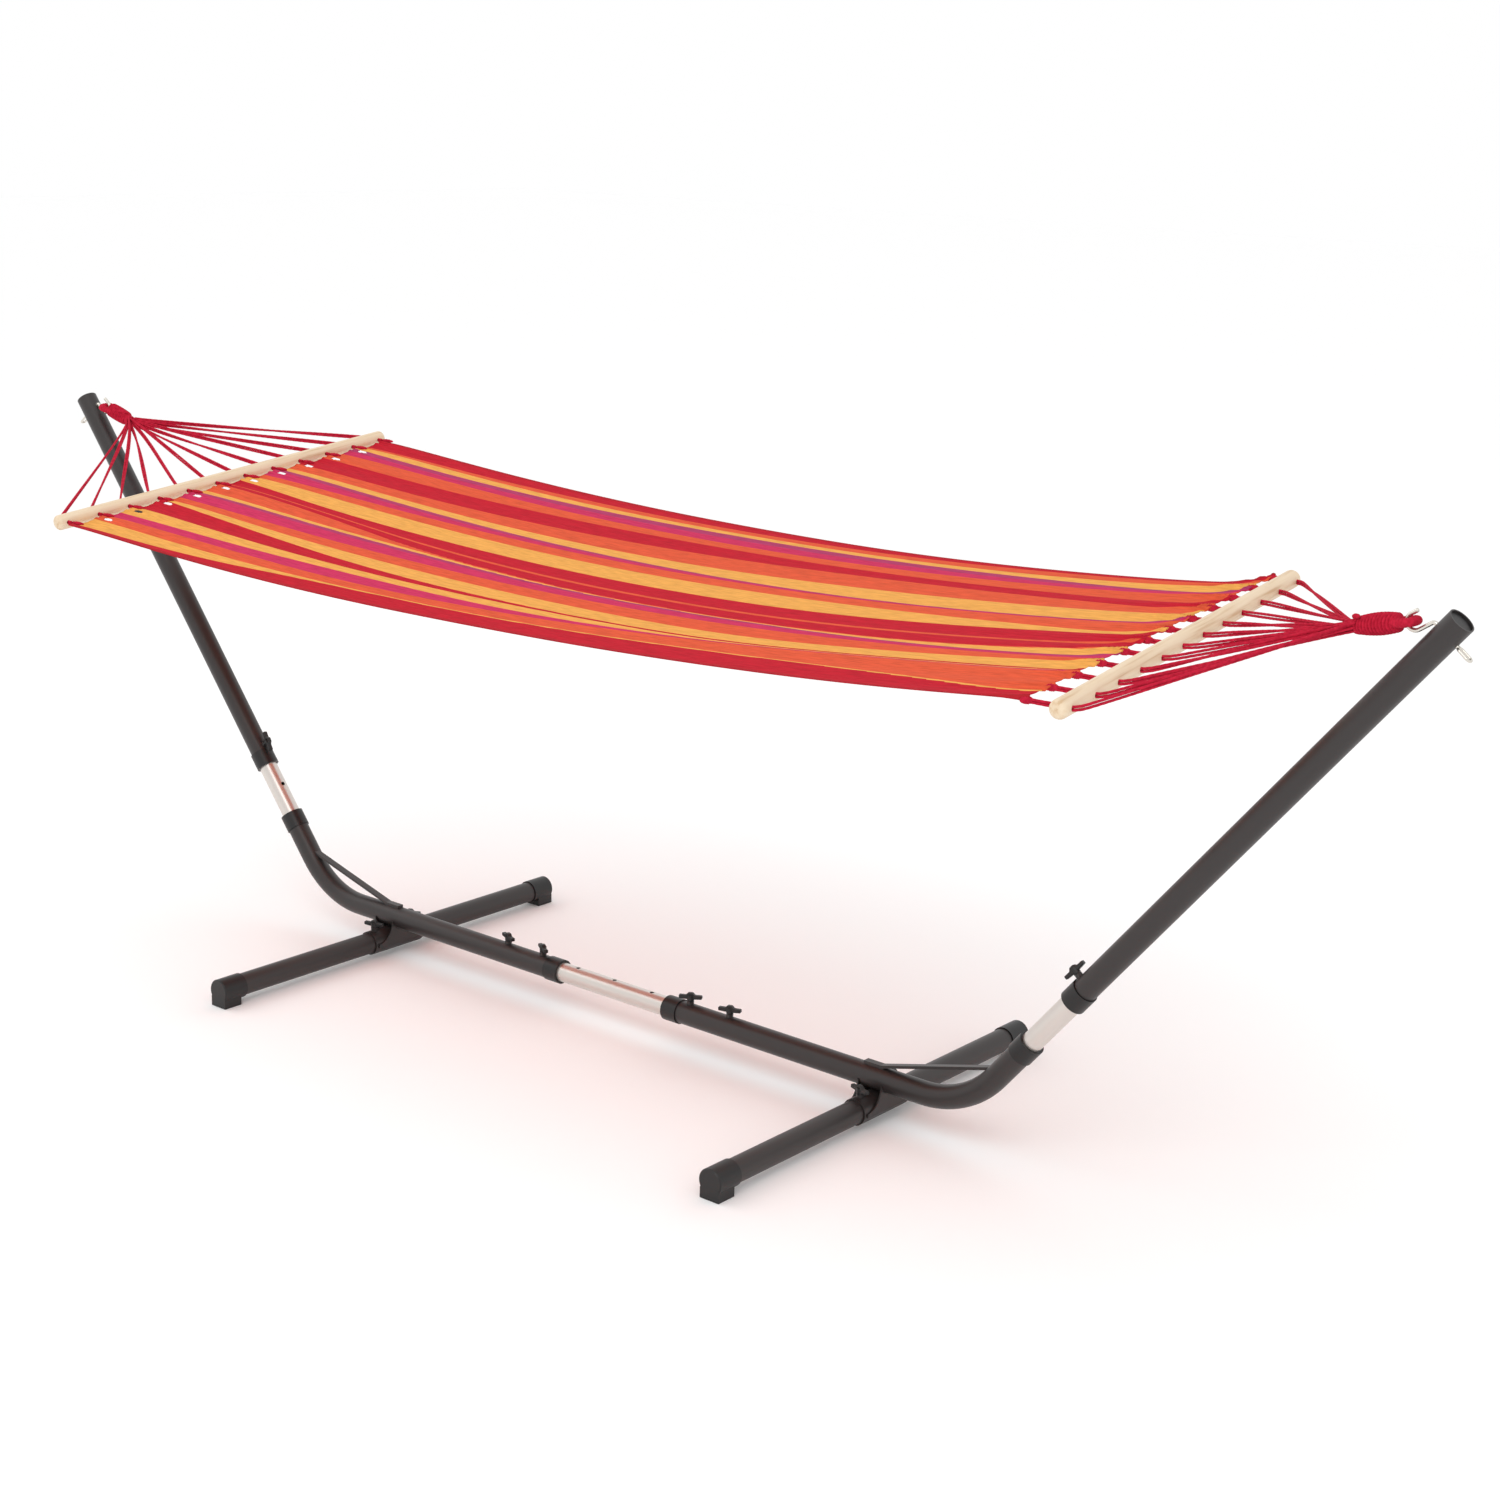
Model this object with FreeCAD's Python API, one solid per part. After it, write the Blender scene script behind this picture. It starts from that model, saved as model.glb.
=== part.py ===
"""Hammock on a telescopic steel stand: two bent base tubes that slide on a middle tube, two leaning
posts that slide on risers, cross legs in sleeves, and a cotton hammock with two wooden bars.

Frame: millimetres, +X along the rail, +Z up, origin on the floor under the middle of the rail.
Each side piece is modelled on the +X side and mirrored for the -X side.
"""
import FreeCAD, Part
import math
import os

Vec = FreeCAD.Vector

# ---- tubes -------------------------------------------------------------------------------------
TUBE_D = 45.0           # outside of every painted tube
TUBE_WALL = 2.4         # wall of the painted tubes
SLIDE_GAP = 0.4         # radial gap between a tube and the tube or sleeve it slides in
INNER_WALL = 1.8        # wall of the plated inner tubes
BEND_R = 200.0          # centreline radius of the bent base tubes
LEAN = 51.0             # degrees between the floor and the posts

# ---- stand layout ------------------------------------------------------------------------------
CORNER_X = 853.0        # from the middle to where the rail's and a post's axes cross
RAIL_END_X = 143.0      # from the middle to the face of a rail collar
RISER_END = 205.0       # along the post's axis, from the corner to the riser collar's face
POST_START = 327.0      # from the corner to the post collar's face
POST_END = 1307.0       # from the corner to the open top of a post
CENTRE_INSERT = 330.0   # how far the middle tube reaches into each base tube
RISER_INSERT = 88.0     # how far a riser reaches down into its base tube
POST_INSERT = 350.0     # how far a riser reaches up into its post
INDEX_PITCH = 100.0     # spacing of the locking holes in the inner tubes
INDEX_HOLE_D = 9.0
INDEX_HOLES = 4         # locking holes in each riser

# ---- cross legs --------------------------------------------------------------------------------
SLEEVE_BACK = 198.0     # from the corner back to a cross leg's axis
SLEEVE_HALF = 68.0      # half the length of a cross sleeve
SLEEVE_WALL = 2.5
LEG_REACH = 472.0       # from the rail's axis to a foot cap's end face
LEG_Z = 33.0            # height of the legs' axis
LEG_END_GAP = 1.0       # from the sleeve's middle to a leg's inner end
CAP_WALL = 2.5
CAP_LENGTH = 56.0
CAP_FACE = 3.0          # thickness of a foot cap's end
PAD_SIDE = 42.0         # square pad under each foot cap
SADDLE_PLATE = 3.0

# ---- collars, braces and caps ------------------------------------------------------------------
COLLAR_LENGTH = 36.0
COLLAR_WALL = 2.3
COLLAR_LIP = 3.0        # thickness of the lip that closes on the inner tube
LIP_GAP = 0.3
BRACE_FOOT_BACK = 203.0     # from the corner back to the middle of the brace's foot
BRACE_FOOT_LENGTH = 44.0
BRACE_RISE = 125.0      # along the post's axis, from the corner to the brace's upper end
BRACE_WIDTH = 14.0
BRACE_THICK = 5.5
PLUG_INSET = 3.5        # how deep a post's plug sits below the rim
PLUG_THICK = 12.0

# ---- knobs and weld nuts -----------------------------------------------------------------------
STUD_D = 8.0
STUD_FIT = 0.05         # radial running clearance of a stud in its nut
STUD_HOLE_GAP = 0.3     # radial gap of a stud in a tube's wall
NUT_FLATS = 13.0
NUT_HEIGHT = 6.0
KNOB_LIFT = 1.2         # from the nut's top to the knob's boss
KNOB_LENGTH = 46.0
KNOB_WIDTH = 9.0
KNOB_THICK = 8.0        # at the wings' ends
KNOB_PEAK = 5.0         # how far the middle stands above the wings
KNOB_ROUND = 1.2
BOSS_D = 14.0
BOSS_HEIGHT = 3.0
RAIL_KNOB_X = (200.0, 300.0)
SLEEVE_KNOB_Y = 52.0
POST_KNOB = 372.0       # along the post's axis, from the corner

# ---- hooks -------------------------------------------------------------------------------------
ROD_D = 7.0
ROD_GAP = 0.2           # radial gap of a hook's rod in the post's wall
HOOK_DOWN = 33.0        # along the post, from its top to the hook's rod
HOOK_OUT = (72.0, -12.5)    # from the post's top to the middle of the hook's bend: inwards, up
HOOK_R = 13.5           # centreline radius of the hook's bend
SHANK_R = 6.0           # centreline radius where the rod leaves the post
TIP_HEADING = 34.0      # degrees above the floor that the tip points
TIP_LENGTH = 13.0
LINK_LENGTH = 31.0      # closed eye on the outer side of the post
LINK_WIDTH = 16.0
LINK_ROD_D = 4.5
LINK_LIFT = 0.8         # from the post to the eye

# ---- hammock -----------------------------------------------------------------------------------
BAR_D = 32.0
BAR_LENGTH = 836.0
BAR_X = {"left": 1181.0, "right": 1217.0}   # from the middle of the stand to a bar's middle
BAR_Y = 5.4             # both bars' middles, so that the weight hangs under the hooks
BAR_Z = {"left": 968.0, "right": 994.0}
BAR_TILT = {"left": 8.3, "right": 5.5}      # degrees out of level, -Y end low
BAR_TURN = {"left": 7.2, "right": -3.7}     # degrees out of square, +Y end towards +X
HOLE_COUNT = 12
HOLE_INSET = 22.0       # from a bar's end to its first hole
CORD_D = 6.0            # the doubled cord, as one round cord
CORD_SPREAD = 2.9       # sideways step between cords where they leave the whipping
CORD_GAP = 0.9          # radial gap of a cord in its hole
CORD_BEND_R = 10.0      # where a cord turns into its hole
CORD_LEAD = 8.0         # from the bar's outer side to that turn
CLOTH_GAP = {"left": 12.0, "right": 50.0}   # from a bar's inner side to the cloth
CLOTH_WIDTH = 808.0
CLOTH_THICK = 3.0
CLOTH_SAG = 60.0
EYE_R = 7.0             # radius of the bound loop that lies in the hook
EYE_HALF = 13.6         # from the eye's middle to each leg's axis
EYE_GAP = 0.3           # between the loop and the inside of the hook
WHIP_START = 19.0       # from the loop's end to the whipping, along the cords
WHIP_JOIN = 36.0        # where the loop's two legs have closed up
WHIP_END = 90.0
WHIP_R = 15.0

# ---- sizes that follow -------------------------------------------------------------------------
TUBE_R = TUBE_D / 2
BORE_R = TUBE_R - TUBE_WALL
INNER_R = BORE_R - SLIDE_GAP
SLEEVE_BORE_R = TUBE_R + SLIDE_GAP
SLEEVE_R = SLEEVE_BORE_R + SLEEVE_WALL
SLEEVE_X = CORNER_X - SLEEVE_BACK
BRACE_FOOT_X = CORNER_X - BRACE_FOOT_BACK
RAIL_Z = LEG_Z + SLEEVE_R + TUBE_R
SIN = math.sin(math.radians(LEAN))
COS = math.cos(math.radians(LEAN))
ALONG = Vec(COS, 0, SIN)        # up along the right post
INWARD = Vec(-SIN, 0, COS)      # square to the right post, towards the hammock
CORNER = Vec(CORNER_X, 0, RAIL_Z)
POST_TOP = CORNER + ALONG * POST_END
HOOK_MIDDLE = Vec(POST_TOP.x - HOOK_OUT[0], 0, POST_TOP.z + HOOK_OUT[1])
UP = Vec(0, 0, 1)
OUT = Vec(1, 0, 0)
ACROSS = Vec(0, 1, 0)


def cylinder(radius, start, end):
    """A round bar from one point to the other."""
    run = end - start
    return Part.makeCylinder(radius, run.Length, start, run)


def pipe(outer_r, inner_r, start, end):
    """A straight tube from one point to the other."""
    return cylinder(outer_r, start, end).cut(cylinder(inner_r, start, end))


def box_between(low, high):
    """A box from its lowest corner to its highest."""
    size = high - low
    return Part.makeBox(size.x, size.y, size.z, low)


def swept(radius, edges):
    """A round bar along joined lines and arcs."""
    path = Part.Wire(edges)
    start = edges[0].valueAt(edges[0].FirstParameter)
    heading = edges[0].tangentAt(edges[0].FirstParameter)
    ring = Part.Wire(Part.makeCircle(radius, start, heading))
    return path.makePipeShell([ring], True, False)


def arc_between(start, middle, end):
    return Part.Arc(start, middle, end).toShape()


def on_post(distance):
    """The point of the right post's axis at a distance from the corner."""
    return CORNER + ALONG * distance


def export(name, shape):
    shape.exportStep(os.path.join("parts", name + ".step"))
    print(name, "solids", len(shape.Solids), "volume", round(shape.Volume))


def export_sides(name, shape):
    """Writes the +X piece and its mirror image."""
    export("right_" + name, shape)
    export("left_" + name, shape.mirror(Vec(0, 0, 0), OUT))


def index_holes(base, along, facing, distances):
    """Drills that go through one wall of an inner tube, one at each distance."""
    drills = []
    for distance in distances:
        point = base + along * distance
        drills.append(cylinder(INDEX_HOLE_D / 2, point, point + facing * TUBE_D))
    return Part.makeCompound(drills)


# ---- middle tube: plated, with locking holes along its top --------------------------------------
def centre_tube():
    half = RAIL_END_X + CENTRE_INSERT
    tube = pipe(INNER_R, INNER_R - INNER_WALL, Vec(-half, 0, RAIL_Z), Vec(half, 0, RAIL_Z))
    steps = int(half // INDEX_PITCH)
    distances = [INDEX_PITCH * step for step in range(-steps, steps + 1)]
    return tube.cut(index_holes(Vec(0, 0, RAIL_Z), OUT, UP, distances))


# ---- base tube: rail, bend and riser socket in one bent tube ------------------------------------
def bent_path(rail_start, riser_end):
    """The base tube's centreline: a straight rail, one arc and a straight riser."""
    tangent = BEND_R * math.tan(math.radians(LEAN / 2))
    arc_start = CORNER - OUT * tangent
    arc_end = CORNER + ALONG * tangent
    centre = arc_start + UP * BEND_R
    half_turn = math.radians(LEAN / 2)
    arc_middle = centre + Vec(math.sin(half_turn), 0, -math.cos(half_turn)) * BEND_R
    first = Vec(rail_start, 0, RAIL_Z)
    return [Part.LineSegment(first, arc_start).toShape(),
            arc_between(arc_start, arc_middle, arc_end),
            Part.LineSegment(arc_end, on_post(riser_end)).toShape()]


def stud_holes(points, facing):
    """Clearance holes for knob studs, from a tube's axis outwards."""
    radius = STUD_D / 2 + STUD_HOLE_GAP
    return Part.makeCompound([cylinder(radius, point, point + facing * TUBE_D) for point in points])


def bend_tube():
    path = bent_path(RAIL_END_X + COLLAR_LIP, RISER_END - COLLAR_LIP)
    tube = swept(TUBE_R, path).cut(swept(BORE_R, path))
    return tube.cut(stud_holes([Vec(x, 0, RAIL_Z) for x in RAIL_KNOB_X], UP))


def riser_tube():
    low = on_post(RISER_END - RISER_INSERT)
    high = on_post(POST_START + POST_INSERT)
    tube = pipe(INNER_R, INNER_R - INNER_WALL, low, high)
    distances = [POST_KNOB + INDEX_PITCH * (step - 1) for step in range(INDEX_HOLES)]
    return tube.cut(index_holes(CORNER, ALONG, INWARD, distances))


# ---- collars: plastic rings pressed on the tubes' ends, with a lip on the inner tube ------------
def collar(face, into):
    """A collar whose lip starts at a face and whose skirt runs along the outer tube."""
    end = face + into * COLLAR_LENGTH
    ring = cylinder(TUBE_R + COLLAR_WALL, face, end)
    ring = ring.cut(cylinder(TUBE_R, face + into * COLLAR_LIP, end))
    return ring.cut(cylinder(INNER_R + LIP_GAP, face, end))


# ---- cross sleeve with its saddle: the sleeve is welded under the rail ---------------------------
def cross_sleeve():
    near = Vec(SLEEVE_X, -SLEEVE_HALF, LEG_Z)
    far = Vec(SLEEVE_X, SLEEVE_HALF, LEG_Z)
    points = [Vec(SLEEVE_X, y, LEG_Z) for y in (-SLEEVE_KNOB_Y, SLEEVE_KNOB_Y)]
    return pipe(SLEEVE_R, SLEEVE_BORE_R, near, far).cut(stud_holes(points, UP))


def saddle_plates():
    """Two upright plates beside the sleeve, cut to the rail's round."""
    foot = SLEEVE_HALF - 6
    shoulder = TUBE_R + 2
    low = LEG_Z - 6
    high = RAIL_Z - 4
    waist = (foot + shoulder * 2) / 3
    rail = cylinder(TUBE_R, Vec(0, 0, RAIL_Z), Vec(CORNER_X, 0, RAIL_Z))
    plates = []
    for x in (SLEEVE_X - SLEEVE_R - SADDLE_PLATE, SLEEVE_X + SLEEVE_R):
        corners = [Vec(x, foot, low + 8), Vec(x, foot, low), Vec(x, -foot, low), Vec(x, -foot, low + 8)]
        edges = list(Part.makePolygon(corners).Edges)
        edges += [arc_between(corners[3], Vec(x, -waist, LEG_Z + 12), Vec(x, -shoulder, high)),
                  Part.LineSegment(Vec(x, -shoulder, high), Vec(x, shoulder, high)).toShape(),
                  arc_between(Vec(x, shoulder, high), Vec(x, waist, LEG_Z + 12), corners[0])]
        plates.append(Part.Face(Part.Wire(edges)).extrude(OUT * SADDLE_PLATE).cut(rail))
    return Part.makeCompound(plates)


# ---- brace: a flat bar from a short foot on the rail to the riser --------------------------------
def brace():
    half_foot = BRACE_FOOT_LENGTH / 2
    half_width = BRACE_WIDTH / 2
    rail_top = RAIL_Z + TUBE_R
    foot = box_between(Vec(BRACE_FOOT_X - half_foot, -half_width, RAIL_Z),
                       Vec(BRACE_FOOT_X + half_foot, half_width, rail_top + BRACE_THICK))
    start = Vec(BRACE_FOOT_X + half_foot - BRACE_THICK, 0, rail_top + BRACE_THICK / 2)
    end = on_post(BRACE_RISE)
    run = end - start
    side = Vec(-run.z, 0, run.x).normalize() * (BRACE_THICK / 2)
    corners = [start - side, end - side, end + side, start + side]
    points = [corner - ACROSS * half_width for corner in corners]
    bar = Part.Face(Part.makePolygon(points + points[:1])).extrude(ACROSS * BRACE_WIDTH)
    return foot.fuse(bar).removeSplitter().cut(swept(TUBE_R, bent_path(0, POST_START)))


# ---- legs and foot caps --------------------------------------------------------------------------
def leg(side):
    """One leg tube, on the -Y side (side -1) or the +Y side (side 1)."""
    inner = Vec(SLEEVE_X, side * LEG_END_GAP, LEG_Z)
    outer = Vec(SLEEVE_X, side * (LEG_REACH - CAP_FACE), LEG_Z)
    return pipe(TUBE_R, BORE_R, inner, outer)


def foot_cap(side):
    """A plastic cap on the leg's end, with a square pad down to the floor."""
    outer = Vec(SLEEVE_X, side * LEG_REACH, LEG_Z)
    inner = Vec(SLEEVE_X, side * (LEG_REACH - CAP_LENGTH), LEG_Z)
    shell_r = TUBE_R + CAP_WALL
    shell = cylinder(shell_r, inner, outer)
    shell = shell.makeChamfer(2.0, [edge for edge in shell.Edges
                                    if abs(edge.CenterOfMass.y - outer.y) < 0.01])
    near, far = sorted((outer.y, outer.y - side * PAD_SIDE))
    pad = box_between(Vec(SLEEVE_X - PAD_SIDE / 2, near, 0),
                      Vec(SLEEVE_X + PAD_SIDE / 2, far, LEG_Z - shell_r / 2))
    bore = cylinder(TUBE_R, inner, Vec(SLEEVE_X, side * (LEG_REACH - CAP_FACE), LEG_Z))
    return shell.fuse(pad).removeSplitter().cut(bore)


# ---- posts, plugs and hooks ----------------------------------------------------------------------
def post():
    tube = pipe(TUBE_R, BORE_R, on_post(POST_START + COLLAR_LIP), POST_TOP)
    rod = cylinder(ROD_D / 2 + ROD_GAP, *rod_ends(TUBE_D))
    return tube.cut(stud_holes([on_post(POST_KNOB)], INWARD)).cut(rod)


def post_plug():
    top = POST_TOP - ALONG * PLUG_INSET
    return cylinder(BORE_R, top - ALONG * PLUG_THICK, top)


def rod_ends(reach):
    """The two ends of the hook's straight rod through the post, outer end first."""
    middle = POST_TOP - ALONG * HOOK_DOWN
    return middle - INWARD * reach, middle + INWARD * reach


def turned(heading_degrees):
    """A unit vector in the XZ plane; 0 is +X and 90 is +Z."""
    angle = math.radians(heading_degrees)
    return Vec(math.cos(angle), 0, math.sin(angle))


def hook():
    """Outer eye, rod through the post, an S into the round bend, and a straight tip."""
    outer, _ = rod_ends(TUBE_R + LINK_ROD_D / 2 + LINK_LIFT)
    _, leave = rod_ends(TUBE_R + 0.5)
    heading = 90.0 + LEAN
    first_centre = leave + turned(heading + 90) * SHANK_R
    apart = HOOK_MIDDLE - first_centre
    bearing = math.degrees(math.atan2(apart.z, apart.x))
    cross = bearing + math.degrees(math.asin((SHANK_R + HOOK_R) / apart.Length))
    first_end = first_centre + turned(cross - 90) * SHANK_R
    second_start = HOOK_MIDDLE + turned(cross + 90) * HOOK_R
    second_end = HOOK_MIDDLE + turned(TIP_HEADING + 90) * HOOK_R
    edges = [Part.LineSegment(outer - INWARD * 1.0, leave).toShape(),
             arc_between(leave, first_centre + turned((heading + cross) / 2 - 90) * SHANK_R, first_end),
             Part.LineSegment(first_end, second_start).toShape(),
             arc_between(second_start,
                         HOOK_MIDDLE + turned((cross + TIP_HEADING) / 2 + 90) * HOOK_R, second_end),
             Part.LineSegment(second_end, second_end + turned(TIP_HEADING) * TIP_LENGTH).toShape()]
    rod = swept(ROD_D / 2, edges)
    end = second_end + turned(TIP_HEADING) * TIP_LENGTH
    rim = [edge for edge in rod.Edges if (edge.CenterOfMass - end).Length < 0.1]
    return rod.makeFillet(ROD_D / 4, rim).fuse(link(outer))


def link(root):
    """The closed eye outside the post: a flat oval of thinner rod, in line with the hook's rod."""
    radius = (LINK_WIDTH - LINK_ROD_D) / 2
    near = root - INWARD * radius
    far = root - INWARD * (LINK_LENGTH - LINK_ROD_D - radius)
    sides = ACROSS * radius
    edges = [Part.LineSegment(near - sides, far - sides).toShape(),
             arc_between(far - sides, far - INWARD * radius, far + sides),
             Part.LineSegment(far + sides, near + sides).toShape(),
             arc_between(near + sides, near + INWARD * radius, near - sides)]
    return swept(LINK_ROD_D / 2, edges)


# ---- weld nuts and knobs -------------------------------------------------------------------------
def frame_at(point, facing, along):
    """A placement whose Z faces away from a tube and whose X runs along it."""
    side = facing.cross(along)
    return FreeCAD.Placement(point, FreeCAD.Rotation(along, side, facing, "ZXY"))


def weld_nut(surface_r):
    """A hexagonal nut seated on a tube of this radius, its axis +Z from the tube's axis."""
    corner = NUT_FLATS / 2 / math.cos(math.radians(30))
    points = [Vec(corner * math.cos(math.radians(60 * i)), corner * math.sin(math.radians(60 * i)),
                  surface_r - 2) for i in range(7)]
    height = NUT_HEIGHT + 2
    nut = Part.Face(Part.makePolygon(points)).extrude(UP * height)
    bore = Part.makeCylinder(STUD_D / 2 + STUD_FIT, TUBE_D, Vec(0, 0, 0), UP)
    tube = cylinder(surface_r, Vec(-TUBE_D, 0, 0), Vec(TUBE_D, 0, 0))
    return nut.cut(bore).cut(tube)


def knob(surface_r, stud_from):
    """A winged hand knob moulded on a threaded stud: a round hub, two flat wings and a raised
    middle. The stud's tip stops at stud_from, the bore of the outer tube."""
    seat = surface_r + NUT_HEIGHT + KNOB_LIFT
    low = seat + BOSS_HEIGHT
    high = low + KNOB_THICK
    half = KNOB_LENGTH / 2
    shoulder = KNOB_WIDTH
    crown = KNOB_WIDTH / 2
    profile = [(-half, low + 1), (-half, high), (-shoulder, high), (-crown, high + KNOB_PEAK),
               (crown, high + KNOB_PEAK), (shoulder, high), (half, high), (half, low + 1),
               (shoulder, low), (-shoulder, low)]
    points = [Vec(x, -KNOB_WIDTH / 2, z) for x, z in profile]
    wings = Part.Face(Part.makePolygon(points + points[:1])).extrude(ACROSS * KNOB_WIDTH)
    wings = wings.makeChamfer(KNOB_ROUND, wings.Edges)
    hub = Part.makeCylinder(BOSS_D / 2, high - seat, Vec(0, 0, seat), UP)
    stud = Part.makeCylinder(STUD_D / 2, low - stud_from, Vec(0, 0, stud_from), UP)
    return wings.fuse([hub, stud]).removeSplitter()


def placed(shape, placement, spin=0):
    """Puts a nut or a knob in its place, turned by spin degrees about its own axis."""
    moved = shape.copy()
    moved.Placement = placement.multiply(FreeCAD.Placement(Vec(0, 0, 0), FreeCAD.Rotation(UP, spin)))
    return moved


def rail_frame(x):
    return frame_at(Vec(x, 0, RAIL_Z), UP, OUT)


def sleeve_frame(side):
    return frame_at(Vec(SLEEVE_X, side * SLEEVE_KNOB_Y, LEG_Z), UP, ACROSS)


def post_frame():
    return frame_at(on_post(POST_KNOB), INWARD, ALONG)


# ---- hammock: eyes, cords, bars and cloth --------------------------------------------------------
def side_sign(side):
    return 1 if side == "right" else -1


def bar_centre(side):
    return Vec(side_sign(side) * BAR_X[side], BAR_Y, BAR_Z[side])


def bar_place(side):
    """Takes a piece from a level frame at the origin to its tilted and turned bar."""
    turn = FreeCAD.Rotation(UP, -BAR_TURN[side])
    tilt = FreeCAD.Rotation(OUT, BAR_TILT[side])
    return FreeCAD.Placement(bar_centre(side), turn.multiply(tilt))


def hole_offsets():
    """The holes' places along a bar."""
    first = -BAR_LENGTH / 2 + HOLE_INSET
    pitch = (BAR_LENGTH - 2 * HOLE_INSET) / (HOLE_COUNT - 1)
    return [first + pitch * i for i in range(HOLE_COUNT)]


def spreader_bar(side):
    """A round wooden bar with domed ends and one cross hole for each cord."""
    radius = BAR_D / 2
    end = BAR_LENGTH / 2
    shoulder = end - radius * 0.6
    flat = radius * 0.3
    corners = [Vec(0, -end, 0), Vec(0, end, 0), Vec(0, end, flat), Vec(0, shoulder, radius),
               Vec(0, -shoulder, radius), Vec(0, -end, flat)]
    knee = Vec(0, end - radius * 0.14, radius * 0.75)
    profile = [Part.LineSegment(corners[0], corners[1]).toShape(),
               Part.LineSegment(corners[1], corners[2]).toShape(),
               arc_between(corners[2], knee, corners[3]),
               Part.LineSegment(corners[3], corners[4]).toShape(),
               arc_between(corners[4], Vec(0, -knee.y, knee.z), corners[5]),
               Part.LineSegment(corners[5], corners[0]).toShape()]
    bar = Part.Face(Part.Wire(profile)).revolve(Vec(0, 0, 0), ACROSS, 360)
    drills = []
    for y in hole_offsets():
        drills.append(cylinder(CORD_D / 2 + CORD_GAP, Vec(-BAR_D, y, 0), Vec(BAR_D, y, 0)))
    return placed(bar.cut(Part.makeCompound(drills)), bar_place(side))


def loop_end(side):
    """The middle of the cord loop's end, seated inside the hook's bend."""
    back = HOOK_R - ROD_D / 2 - EYE_GAP - EYE_R
    return Vec(side_sign(side) * (HOOK_MIDDLE.x - back), 0, HOOK_MIDDLE.z)


def pull(side):
    """Unit vector from a hook to its bar."""
    return (bar_centre(side) - loop_end(side)).normalize()


def rounded_path(points, radii):
    """Straight runs through the points, with an arc of its own radius at each turn."""
    edges = []
    start = points[0]
    for before, turn, after, radius in zip(points, points[1:], points[2:], radii):
        into = (turn - before).normalize()
        out = (after - turn).normalize()
        half = into.getAngle(out) / 2
        arc_start = turn - into * (radius * math.tan(half))
        arc_end = turn + out * (radius * math.tan(half))
        inside = (out - into).normalize()
        middle = turn + inside * (radius / math.cos(half) - radius)
        edges += [Part.LineSegment(start, arc_start).toShape(), arc_between(arc_start, middle, arc_end)]
        start = arc_end
    return edges + [Part.LineSegment(start, points[-1]).toShape()]


def eye(side):
    """The cords' bound end loop, held in the hook, and the whipping behind it."""
    end = loop_end(side)
    away = pull(side)
    half = ACROSS * EYE_HALF
    points = [end - half * 0.5 + away * WHIP_JOIN, end - half + away * WHIP_START, end - half,
              end + half, end + half + away * WHIP_START, end + half * 0.5 + away * WHIP_JOIN]
    bend = EYE_R + 0.5
    loop = swept(EYE_R, rounded_path(points, [4 * bend, bend, bend, 4 * bend]))
    return loop.fuse(cylinder(WHIP_R, end + away * WHIP_START, end + away * WHIP_END))


def cord_route(side, index):
    """A cord's points: on the whipping's face, at the turn into its hole, and at the cloth."""
    away = pull(side)
    normal = away.cross(ACROSS)
    layer = index % 3 - 1
    face = loop_end(side) + away * WHIP_END
    across = (index - (HOLE_COUNT - 1) / 2) * CORD_SPREAD
    start = face + normal * (layer * (CORD_D + 0.3)) + ACROSS * across
    sign = side_sign(side)
    hole = hole_offsets()[index]
    turn = bar_place(side).multVec(Vec(sign * (BAR_D / 2 + CORD_LEAD), hole, 0))
    finish = bar_place(side).multVec(Vec(-sign * (BAR_D / 2 + CLOTH_GAP[side]), hole, 0))
    run = (turn - start).normalize()
    slant = math.acos(min(1.0, abs(run.dot(away))))
    start = start + away * (CORD_D / 2 * math.sin(slant) + 0.1)
    return start, turn, finish


def cords(side):
    """Twelve tight cords, each straight to its hole, round one tight turn and on to the cloth."""
    solids = []
    for index in range(HOLE_COUNT):
        start, turn, finish = cord_route(side, index)
        edges = rounded_path([start, turn, finish], [CORD_BEND_R])
        solids.append(swept(CORD_D / 2, edges))
        length = sum(edge.Length for edge in edges)
        section = math.pi * CORD_D ** 2 / 4
        print(side, "cord", index + 1, "length", round(length, 1), "turn radius", CORD_BEND_R,
              "volume over section times length", round(solids[-1].Volume / (section * length), 4))
    return Part.makeCompound(solids)


def cloth_corner(side, edge):
    """The cloth's corner beside a bar, on the -Y edge (-1) or the +Y edge (1)."""
    inwards = -side_sign(side) * (BAR_D / 2 + CLOTH_GAP[side])
    return bar_place(side).multVec(Vec(inwards, edge * CLOTH_WIDTH / 2, 0))


def cloth():
    """A sheet between the two bars' cords, each lengthwise line of it a sagging parabola."""
    steps = 8
    sections = []
    for i in range(steps + 1):
        share = i / steps
        drop = UP * (4 * CLOTH_SAG * share * (1 - share))
        near, far = [cloth_corner("left", edge) * (1 - share) + cloth_corner("right", edge) * share - drop
                     for edge in (-1, 1)]
        lift = UP * (CLOTH_THICK / 2)
        corners = [near - lift, far - lift, far + lift, near + lift]
        sections.append(Part.makePolygon(corners + corners[:1]))
    return Part.makeLoft(sections, True, False)


# ---- build ---------------------------------------------------------------------------------------
os.makedirs("parts", exist_ok=True)

export("centre_tube", centre_tube())
export_sides("bend_tube", bend_tube())
export_sides("riser_tube", riser_tube())
export_sides("rail_collar", collar(Vec(RAIL_END_X, 0, RAIL_Z), OUT))
export_sides("riser_collar", collar(on_post(RISER_END), ALONG * -1))
export_sides("cross_sleeve", cross_sleeve())
export_sides("saddle_plates", saddle_plates())
export_sides("brace", brace())
for leg_side, leg_name in ((-1, "front"), (1, "rear")):
    export_sides(leg_name + "_leg", leg(leg_side))
    export_sides(leg_name + "_foot_cap", foot_cap(leg_side))

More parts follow.
